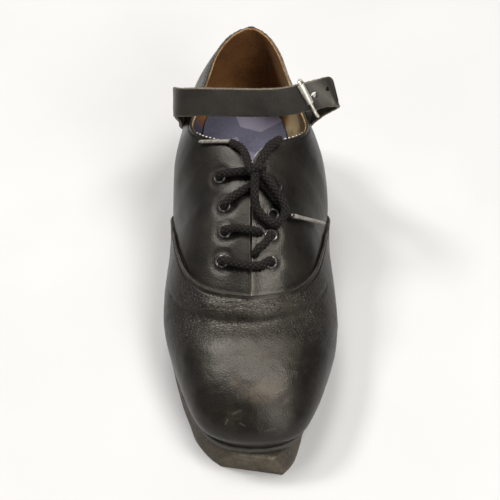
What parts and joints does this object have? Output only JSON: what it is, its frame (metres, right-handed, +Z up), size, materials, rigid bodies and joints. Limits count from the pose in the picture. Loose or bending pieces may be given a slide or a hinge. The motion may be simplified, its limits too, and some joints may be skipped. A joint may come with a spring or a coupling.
{
  "type": "irish dance shoe",
  "caption": "Black leather Irish dance hard shoe for the left foot, laced, with an ankle strap and buckle, a resin toe tip and a block heel.",
  "frame": {"origin": "on the floor, under the middle of the shoe's bounding box without the loose lace", "axes": "+Z up, +Y from toe to heel, +X to the outer side of the foot"},
  "size_m": [0.1027, 0.2621, 0.1249],
  "materials": {
    "upper_leather": "satin",
    "strap_leather": "satin",
    "outsole_leather": "matte",
    "insole_cloth": "matte",
    "tip_resin": "matte",
    "heel_resin": "matte",
    "buckle_steel": "satin",
    "eyelet_metal": "satin",
    "lace_braid": "matte",
    "aglet_plastic": "gloss"
  },
  "bodies": {
    "root": {"upper": "upper_leather", "outsole": "outsole_leather", "insole": "insole_cloth", "heel": "heel_resin", "toe_tip": "tip_resin", "strap_long": "strap_leather", "strap_short": "strap_leather", "buckle_frame": "buckle_steel", "buckle_roller": "buckle_steel", "buckle_prong": "buckle_steel", "eyelet_1_inner": "eyelet_metal", "eyelet_1_outer": "eyelet_metal", "eyelet_2_inner": "eyelet_metal", "eyelet_2_outer": "eyelet_metal", "eyelet_3_inner": "eyelet_metal", "eyelet_3_outer": "eyelet_metal", "eyelet_4_inner": "eyelet_metal", "eyelet_4_outer": "eyelet_metal", "lace_bar_1": "lace_braid", "lace_bar_2": "lace_braid", "lace_bar_3_inner": "lace_braid", "lace_bar_3_outer": "lace_braid", "lace_bar_4": "lace_braid", "lace_knot": "lace_braid", "lace_loop_down": "lace_braid", "lace_loop_up": "lace_braid", "lace_end_inner": "lace_braid", "lace_end_outer": "lace_braid", "aglet_inner": "aglet_plastic", "aglet_outer": "aglet_plastic"}
  },
  "joints": []
}
